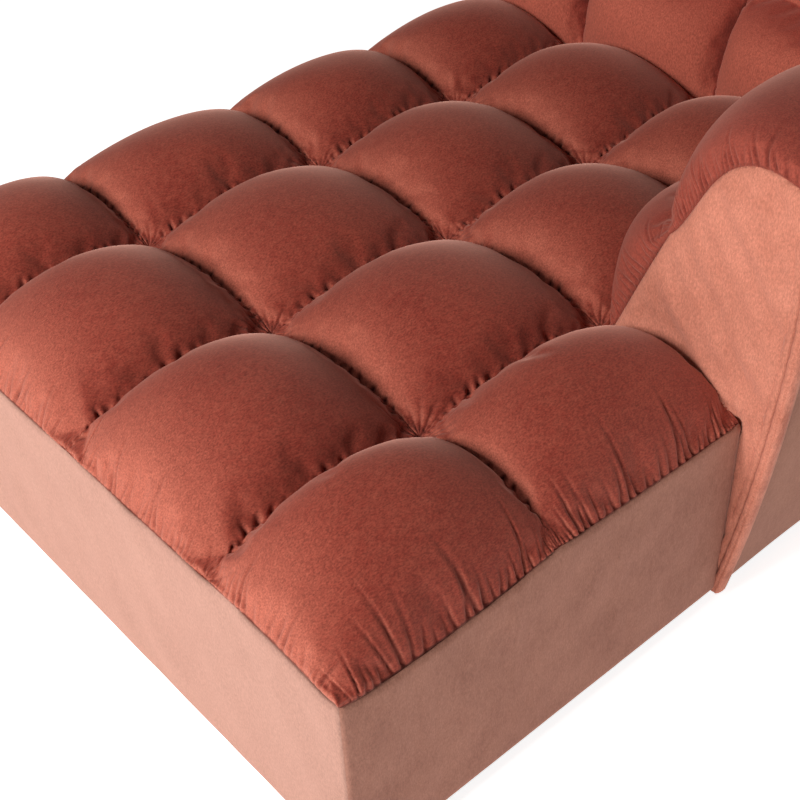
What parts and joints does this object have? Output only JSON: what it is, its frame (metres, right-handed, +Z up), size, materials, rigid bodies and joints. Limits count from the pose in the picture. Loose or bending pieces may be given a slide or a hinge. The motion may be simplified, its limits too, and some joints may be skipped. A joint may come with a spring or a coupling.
{
  "type": "chaise longue",
  "caption": "Upholstered chaise longue section with a block base, a square-tufted velvet seat, one rolled tufted arm and a matching full-width back.",
  "frame": {"origin": "on the floor, under the middle of the whole outline", "axes": "+X from the open side to the arm side, +Y from the foot end to the back, +Z up"},
  "size_m": [1.22, 1.575, 0.7367],
  "materials": {
    "velvet_tufted": "salmon-red velvet with a soft sheen",
    "velvet_border": "salmon velvet, nap lying towards the light",
    "velvet_outer": "salmon velvet, nap lying away from the light",
    "pine": "sawn softwood",
    "plywood": "birch plywood",
    "hardboard": "hardboard",
    "webbing": "elastic woven webbing",
    "hessian": "woven jute",
    "foam": "polyurethane foam",
    "tie_cord": "twisted nylon cord",
    "anchor_plastic": "moulded plastic",
    "dust_cloth": "black non-woven cloth",
    "glide_plastic": "black moulded plastic",
    "zinc_steel": "zinc-plated steel"
  },
  "bodies": {
    "root": {"seat_cover": "velvet_tufted", "arm_cover": "velvet_tufted", "back_cover": "velvet_tufted", "foot_border": "velvet_border", "open_side_border": "velvet_border", "arm_side_border": "velvet_border", "arm_front_facing": "velvet_border", "back_end_facing": "velvet_border", "arm_outer_cover": "velvet_outer", "back_outer_cover": "velvet_outer", "foot_end_rail": "pine", "rear_rail": "pine", "open_side_rail": "pine", "arm_side_rail": "pine", "arm_front_rail": "pine", "arm_inner_rail": "pine", "seat_rear_rail": "pine", "seat_stretchers": "pine", "foot_blocks": "pine", "arm_battens": "pine", "back_battens": "pine", "arm_sill": "plywood", "arm_ribs": "plywood", "arm_inner_board": "plywood", "back_sill": "plywood", "back_ribs": "plywood", "back_inner_board": "plywood", "arm_outer_board": "hardboard", "back_outer_board": "hardboard", "lengthwise_webbing": "webbing", "crosswise_webbing": "webbing", "hessian": "hessian", "seat_foam": "foam", "arm_foam": "foam", "back_foam": "foam", "tuft_ties": "tie_cord", "tuft_anchors": "anchor_plastic", "dust_cover": "dust_cloth", "feet": "glide_plastic", "joining_nuts": "zinc_steel"}
  },
  "joints": []
}
